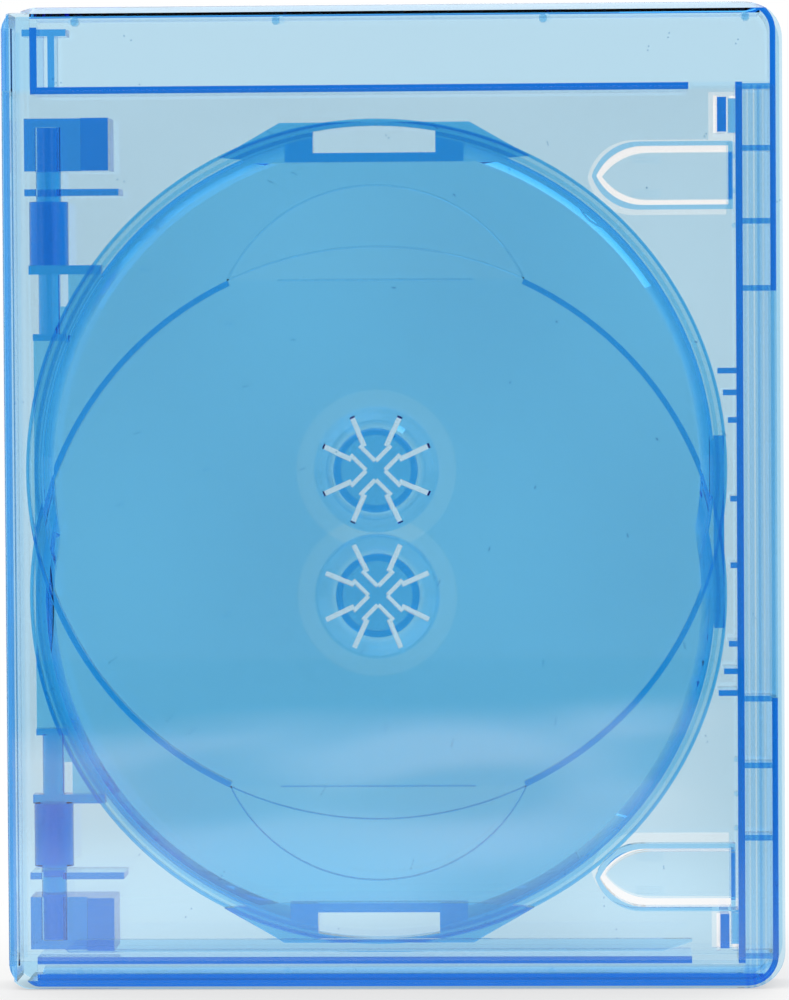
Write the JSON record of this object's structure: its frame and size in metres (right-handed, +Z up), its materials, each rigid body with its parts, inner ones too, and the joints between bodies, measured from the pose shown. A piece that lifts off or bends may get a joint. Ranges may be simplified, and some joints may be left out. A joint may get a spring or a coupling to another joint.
{
  "type": "optical disc case",
  "caption": "Translucent blue hinged case for optical discs, with latching covers, booklet clips, a clear sleeve and a flip tray that has a spring-finger hub on each side.",
  "frame": {"origin": "under the middle of the closed case, on the surface that it stands on", "axes": "+Z up along the case's height, front cover facing -Y, spine at -X and opening edge at +X"},
  "size_m": [0.1354, 0.015, 0.1715],
  "materials": {
    "cover_plastic": "clear blue tint, glossy",
    "tray_plastic": "deeper clear blue tint, glossy",
    "clear_film": "clear film, glossy"
  },
  "bodies": {
    "back": {"back_cover": "cover_plastic", "sleeve_back": "clear_film"},
    "spine": {"spine": "cover_plastic", "sleeve_spine": "clear_film"},
    "front": {"front_cover": "cover_plastic", "sleeve_front": "clear_film"},
    "tray": {"disc_tray": "tray_plastic"}
  },
  "joints": [
    {"name": "spine_hinge", "type": "hinge", "parent": "back", "child": "spine", "pos_m": [-0.06675, 0.0065, 0.08575], "axis": [0, 0, -1], "range_deg": [0, 90]},
    {"name": "front_hinge", "type": "hinge", "parent": "spine", "child": "front", "pos_m": [-0.06675, -0.0065, 0.08575], "axis": [0, 0, -1], "range_deg": [0, 90]},
    {"name": "tray_hinge", "type": "hinge", "parent": "back", "child": "tray", "pos_m": [-0.0603, 0, 0.0792], "axis": [0, 0, -1], "range_deg": [0, 90]}
  ],
  "couplings": [
    {"joint": "tray_hinge", "follows": "spine_hinge", "ratio": 1}
  ]
}
